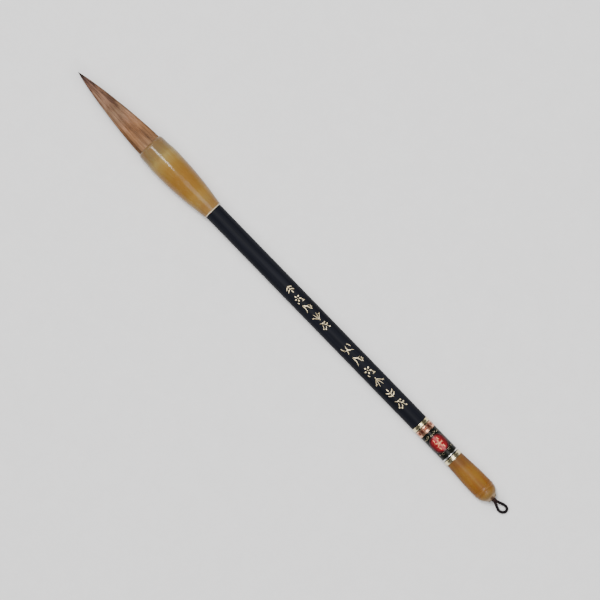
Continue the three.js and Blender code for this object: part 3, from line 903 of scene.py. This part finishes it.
# Label: gold curls with leaves between them at both ends of the sleeve, and sprigs round its back.
# Front and rear are each an inset from the edge and a weight of line
label = {
    "scrolls": 7, "reach": 0.92, "turns": 1.0, "line": 0.065, "thin": 0.03, "lift": 0.035, "rows": 26,
    "front": (1.7, 1.25), "rear": (2.2, 0.85), "leaf": (0.5, 0.2, 30, 0.85, 0.12, 0.09), "leafRows": 9,
    "backSprigs": 5, "backFrom": 95, "backSpan": 170, "backSway": 2.6, "sprigSize": 1.7, "sprigRows": 11,
    "leafLine": 0.02,
}


# Curl: distance from its eye shrinks evenly from reach to a tenth while it turns; the line thins to its eye
def curlStrokes(centers, reach, turns, hands, headings, s):
    u = np.linspace(0, 1, s["rows"])[None]
    angle = headings[:, None] + hands[:, None] * u * turns * 2 * np.pi
    away = reach * (1 - 0.9 * u)
    paths = np.stack([centers[:, :1] + away * np.cos(angle), centers[:, 1:] + away * np.sin(angle)], -1)
    widths = (s["line"] + (s["thin"] - s["line"]) * u) * np.ones_like(angle)
    widths = widths * np.clip(u / 0.12, 0.35, 1)
    return paths, widths


# Curls and pairs of leaves set evenly round both ends, then the sprigs, swaying to either side of the middle
def labelStrokes(s, start, end, radius):
    batches = []
    arc = 2 * np.pi * radius / s["scrolls"]
    index = np.arange(s["scrolls"])
    x, y, heading, length, bend, width = s["leaf"]
    for side, away in (("front", 1), ("rear", -1)):
        inset, weight = s[side]
        edge = (start if away > 0 else end) + away * inset
        middles = np.column_stack([np.full(len(index), edge), (index + 0.5) * arc])
        hands = np.where(index % 2 == 0, 1, -1)
        headings = np.where(index % 2 == 0, -np.pi / 2, np.pi / 2) + (0 if away > 0 else np.pi)
        paths, widths = curlStrokes(middles, s["reach"], s["turns"], hands, headings, s)
        batches.append(inlayStrokes(paths, widths * weight, s["lift"], radius))
        leaves = [(x * away, sign * y, 90 - 90 * away + sign * heading, length, bend * sign, width * weight)
                  for sign in (-1, 1)]
        for middle in middles:
            between = middle + (0, arc / 2)
            paths, widths = leafStrokes(leaves, between, 1.0, s["leafRows"], s["leafLine"])
            batches.append(inlayStrokes(paths, widths, s["lift"], radius))
    middle = (start + end) / 2
    pitch = math.radians(s["backSpan"])
    for k in range(s["backSprigs"]):
        turn = math.radians(s["backFrom"]) + k * pitch / (s["backSprigs"] - 1)
        spot = (middle + s["backSway"] * (k % 2 - 0.5), radius * turn)
        paths, widths = leafStrokes(
            motifs["orchid"], spot, s["sprigSize"], s["sprigRows"], s["leafLine"], k % 2 == 0)
        batches.append(inlayStrokes(paths, widths, s["lift"], radius))
    return batches


labelStart, labelEnd, labelRadius = bandAt["label_sleeve"]
labelGold = goldFoilMaterial("labelGold", (0.72, 0.64, 0.44), (0.40, 0.32, 0.18), 0.3, 0.85)
labelBatches = labelStrokes(label, labelStart, labelEnd, labelRadius)
settle(strokePiece("label_scrolls", labelBatches, labelGold), "handle", "pale_gold")
print("label made")

# Badge on the label: a domed oval of red enamel wrapped over the sleeve, with a rim round it
medallion = {
    "halfLength": 4.8, "halfArc": 4.9, "dome": 0.26, "domeShare": 0.28, "base": 4.6, "rimStart": 0.86,
    "groove": 0.05, "grooveWidth": 0.018, "rimFall": 0.055, "sides": 128,
}


# Badge height over the sleeve: a shallow dome, a groove before the rim, and a round fall to the edge
def badgeHeight(s, share):
    dome = s["dome"] * (1 - s["domeShare"] + s["domeShare"] * np.sqrt(np.clip(1 - share**2, 0, 1)))
    groove = -s["groove"] * np.exp(-(((share - s["rimStart"]) / s["grooveWidth"]) ** 2))
    fall = np.sqrt(np.clip((1.0 - share) / s["rimFall"], 0, 1))
    return (dome + groove) * fall


# The oval: along = share * halfLength * cos(spin), arc = share * halfArc * sin(spin), with closer rows
# near the rim and a flat back at the base radius
def badgePiece(s, center, material):
    share = np.concatenate([np.linspace(0, 0.8, 20), np.linspace(0.81, 1, 30)])
    spin = np.arange(s["sides"]) * 2 * np.pi / s["sides"]
    shares, spins = np.meshgrid(share, spin, indexing="ij")
    rows = [(shares, s["base"] + badgeHeight(s, shares)), (shares[::-1], np.full_like(shares, s["base"]))]
    shares, radius = (np.concatenate(pair) for pair in zip(*rows))
    spins = np.concatenate([spins, spins])
    along = center + s["halfLength"] * shares * np.cos(spins)
    points = place(along, radius, s["halfArc"] * shares * np.sin(spins) / s["base"])
    faces = [gridQuads(1, len(shares), s["sides"])]
    values = {"share": shares, "across": np.abs(shares * np.sin(spins))}
    return makePiece("medallion_badge", points, faces, material, values, 50, weld=True)


# Red enamel: colour rings from the middle to a nearly black rim, with painted shade darkening it towards
# both sides of the brush
def enamelMaterial():
    material, tree, shader = shaderFor("redEnamel", rough=0.2, coat=0.2, coatRough=0.08, specular=0.2)
    swirl = grain(tree, (420, 420, 420), 3, 0.55, 0.5)
    ring = calc(tree, "ADD", attribute(tree, "share"), remap(tree, swirl, 0.3, 0.7, -0.06, 0.06))
    field = ramp(tree, ring, [
        (0.0, (0.300, 0.014, 0.020)), (0.45, (0.290, 0.013, 0.018)), (0.7, (0.350, 0.028, 0.034)),
        (0.79, (0.200, 0.009, 0.012)), (0.85, (0.060, 0.004, 0.006)), (1.0, (0.026, 0.004, 0.005))])
    # Painted shade: the field darkens towards both sides of the brush, away from the badge's middle line
    flankShade = cover(tree, attribute(tree, "across"), 0.15, 0.68, 0.85, field, (0.050, 0.004, 0.005))
    paint(tree, shader, flankShade)
    roughen(tree, shader, swirl, 0.08, 0.2)
    return material


badgeCenter = (labelStart + labelEnd) / 2 + 0.05
settle(badgePiece(medallion, badgeCenter, enamelMaterial()), "handle", "red_enamel", "medallion")

# Blossom on the badge: five cupped petals drawn by two edge lines each, five stamens, and four leaves
blossomPlan = {"turn": 0.31, "size": 3.0, "rows": 13, "line": 0.05, "lift": 0.06, "height": 0.97}
petalTurns = np.arange(5) * 2 * np.pi / 5 + blossomPlan["turn"]
blossomTable = [
    *[(0.09 * math.cos(a), 0.09 * math.sin(a), math.degrees(a) + side * 20, 0.66, -side * 0.27, 0.022)
      for a in petalTurns for side in (-1, 1)],
    *[(0.0, 0.0, math.degrees(a) + 36, 0.2, 0.0, 0.015) for a in petalTurns],
    (-1.0, -0.42, -12, 0.5, 0.2, 0.06), (-1.02, 0.42, 12, 0.5, -0.2, 0.06),
    (1.02, 0.42, 168, 0.5, 0.2, 0.06), (1.0, -0.42, 192, 0.5, -0.2, 0.06),
]
blossomPaths, blossomWidths = leafStrokes(
    blossomTable, (badgeCenter, 0), blossomPlan["size"], blossomPlan["rows"], blossomPlan["line"])
blossomRadius = medallion["base"] + medallion["dome"] * blossomPlan["height"]
blossom = inlayStrokes(blossomPaths, blossomWidths, blossomPlan["lift"], blossomRadius)
blossomGold = goldFoilMaterial("blossomGold", (0.95, 0.52, 0.28), (0.74, 0.28, 0.13), 0.4, 0.6)
settle(strokePiece("badge_blossom", [blossom], blossomGold), "handle", "pale_gold")
print("badge made")

# Horn tail: flared cap, then a button with a bead, a groove and a bell-shaped dome round the cord's hole
tail = {
    "cap": [
        (258.05, 4.62), (261.0, 4.80), (264.2, 4.98), (267.5, 5.17), (270.2, 5.30), (273.5, 5.37),
        (276.8, 5.385),
    ],
    "capStart": 257.92, "capFront": 4.6, "capEnd": 276.86, "capRear": 5.375, "capBore": 3.05,
    "dome": [
        (278.45, 5.44), (278.8, 5.28), (279.15, 5.13), (279.6, 5.16), (280.4, 4.98), (281.4, 4.50),
        (282.4, 3.78), (283.4, 2.98), (284.15, 2.4),
    ],
    "buttonStart": 276.88, "bead": 5.40, "spigotStart": 270.6, "spigot": 2.95, "pocket": 2.2,
    "pocketEnd": 276.9, "hole": 1.25, "holeRim": 2.2, "end": 284.3, "waver": 0.012,
}


# Cap section: its front edge, the flare, and its rear edge, round an open bore
def capOutline(s):
    swell = smoothLine(s["cap"], 8)
    corners = [(s["capStart"], s["capBore"]), (s["capStart"], s["capFront"]), tuple(swell[0])]
    rear = [tuple(swell[-1]), (s["capEnd"], s["capRear"]), (s["capEnd"], s["capBore"])]
    return np.concatenate([softened(corners, 0.12), swell[1:-1], softened(rear, 0.12)])


# Button section: the spigot that goes into the cap, the bead, the groove and dome, and the cord's hole
def buttonOutline(s):
    dome = smoothLine(s["dome"], 8)
    front = [
        (s["spigotStart"], s["pocket"]), (s["spigotStart"], s["spigot"]), (s["buttonStart"], s["spigot"]),
        (s["buttonStart"], s["bead"] - 0.02), (s["buttonStart"] + 0.45, s["bead"] - 0.03),
        (s["buttonStart"] + 1.0, s["bead"] + 0.07), tuple(dome[0]),
    ]
    rear = [tuple(dome[-1]), (s["end"], s["holeRim"]), (s["end"], s["hole"]), (s["pocketEnd"], s["hole"]),
            (s["pocketEnd"], s["pocket"])]
    return np.concatenate([softened(front, 0.1), dome[1:-1], softened(rear, 0.14)])


tailHorn = hornMaterial(
    "tailHorn", (257.9, 276.9),
    [(0, (0.128, 0.058, 0.021)), (0.2, (0.145, 0.060, 0.018)), (0.45, (0.200, 0.090, 0.017)),
     (0.66, (0.210, 0.090, 0.015)), (0.85, (0.190, 0.074, 0.012)), (1, (0.178, 0.068, 0.013))],
    {"shift": 2.5, "share": 0.7, "color": (0.225, 0.128, 0.021)},
    {"share": 0.8, "color": (0.205, 0.054, 0.008)}, (0.38, 0.07))
buttonHorn = hornMaterial(
    "buttonHorn", (276.9, 284.3),
    # Lighter over the bead and the dome's shoulder, darker in the groove between them: painted highlight and
    # shade. The pale stop near the end is painted light through the thin horn
    [(0, (0.180, 0.070, 0.013)), (0.2, (0.205, 0.088, 0.018)), (0.32, (0.175, 0.074, 0.013)),
     (0.5, (0.205, 0.108, 0.026)), (0.68, (0.180, 0.104, 0.034)), (0.85, (0.300, 0.220, 0.150)),
     (0.93, (0.200, 0.140, 0.080)), (1, (0.080, 0.050, 0.026))],
    {"shift": 0.4, "share": 0.3, "color": (0.240, 0.140, 0.034)},
    {"share": 0.3, "color": (0.190, 0.070, 0.014)}, (0.3, 0.14), glow=0.2,
    edge={"start": 282.7, "fade": 0.5, "reach": 0.55, "share": 0.85, "color": (0.050, 0.020, 0.010)})
turned = turnedByHand(tail["waver"])
hornCap = turnPiece("horn_tail_cap", capOutline(tail), tailHorn, 160, turned)
hornButton = turnPiece("horn_tail_button", buttonOutline(tail), buttonHorn, 160, turned, 50)
settle(hornCap, "handle", "tail_horn", "tail_cap")
settle(hornButton, "handle", "button_horn", "tail_button")
print("tail made")

# Pieces that stay hidden inside keep their shapes and get plain versions of their own finishes
def hiddenFinish(name, color, rough, stretch):
    material, tree, shader = shaderFor(name, rough=rough)
    fleck = grain(tree, stretch, 4, 0.6)
    darker = tuple(0.6 * value for value in color)
    paint(tree, shader, cover(tree, fleck, 0.35, 0.65, 1, color, darker))
    bump(tree, shader, fleck, 0.3, 0.0001)
    return material


hiddenFinishes = {
    "root_thread": ((0.66, 0.60, 0.48), 0.75, (6000, 900, 900)),
    "root_seal": ((0.16, 0.07, 0.02), 0.3, (500, 500, 500)),
    "socket_glue": ((0.60, 0.47, 0.20), 0.3, (300, 300, 300)),
    "cord_knot": ((0.016, 0.010, 0.012), 0.7, (2500, 2500, 2500)),
}
for nodeName, (color, rough, stretch) in hiddenFinishes.items():
    finish = hiddenFinish(nodeName + "_finish", color, rough, stretch)
    frame["nodes"][nodeName].data.materials.clear()
    frame["nodes"][nodeName].data.materials.append(finish)

placeFlat(cord["exit"], -cord["spread"], 0)

# Pale table, a lamp overhead towards the hair end, a soft panel towards the tail, a strip beyond each end,
# and a dim sky
studio = {
    "tableSize": 4.0, "table": (0.86, 0.852, 0.850),
    "lampSize": (0.56, 0.28), "lampPower": 19.0, "lampAt": (-0.31, 0.09, 1.5),
    "panelSize": (0.42, 0.85), "panelPower": 5.2, "panelAt": (0.33, 0.05, 1.5),
    "stripSize": (0.5, 1.5), "stripPower": 14.8, "stripAt": (1.0, 0, 1.3),
    "sky": (0.97, 0.985, 1.0), "skyStrength": 0.12,
}


# A rectangular lamp, tilted along the table towards its middle
def addLamp(name, size, power, where):
    lamp = bpy.data.lights.new(name, "AREA")
    lamp.energy = power
    lamp.shape = "RECTANGLE"
    lamp.size, lamp.size_y = size
    holder = bpy.data.objects.new(name, lamp)
    holder.location = where
    holder.rotation_euler = (0, math.atan2(where[0], where[2]), 0)
    bpy.context.scene.collection.objects.link(holder)


# A flat table of four squares with a faint mottle, the four lamps, and the sky
def addStudio(s):
    half = s["tableSize"] / 2
    grid = np.linspace(-half, half, 3)
    points = np.array([(x, y, 0.0) for x in grid for y in grid])
    corner = np.array([0, 1, 3, 4])
    faces = np.stack([corner, corner + 3, corner + 4, corner + 1], -1)
    material, tree, shader = shaderFor("paleTable", rough=0.85, specular=0.2)
    where = node(tree, "ShaderNodeTexCoord").outputs["Object"]
    fibre = noise(tree, where, 420, 5, 0.65, 0.4)
    cloud = noise(tree, where, 95, 3, 0.6, 0.6)
    mottle = calc(tree, "ADD", remap(tree, fibre, 0.3, 0.7, 0, 0.5), remap(tree, cloud, 0.35, 0.65, 0, 0.5))
    darker = tuple(0.95 * value for value in s["table"])
    paint(tree, shader, mixColor(tree, mottle, s["table"], darker))
    bump(tree, shader, fibre, 0.3, 0.0004)
    table = makePiece("table", points, [faces], material)
    addLamp("overheadLamp", s["lampSize"], s["lampPower"], s["lampAt"])
    addLamp("softPanel", s["panelSize"], s["panelPower"], s["panelAt"])
    for end in (-1, 1):
        addLamp("endStrip", s["stripSize"], s["stripPower"], (end * s["stripAt"][0], 0, s["stripAt"][2]))
    world = bpy.data.worlds.new("sky")
    world.use_nodes = True
    sky = world.node_tree.nodes["Background"]
    sky.inputs["Color"].default_value = (*s["sky"], 1)
    sky.inputs["Strength"].default_value = s["skyStrength"]
    bpy.context.scene.world = world


addStudio(studio)
print("studio set")
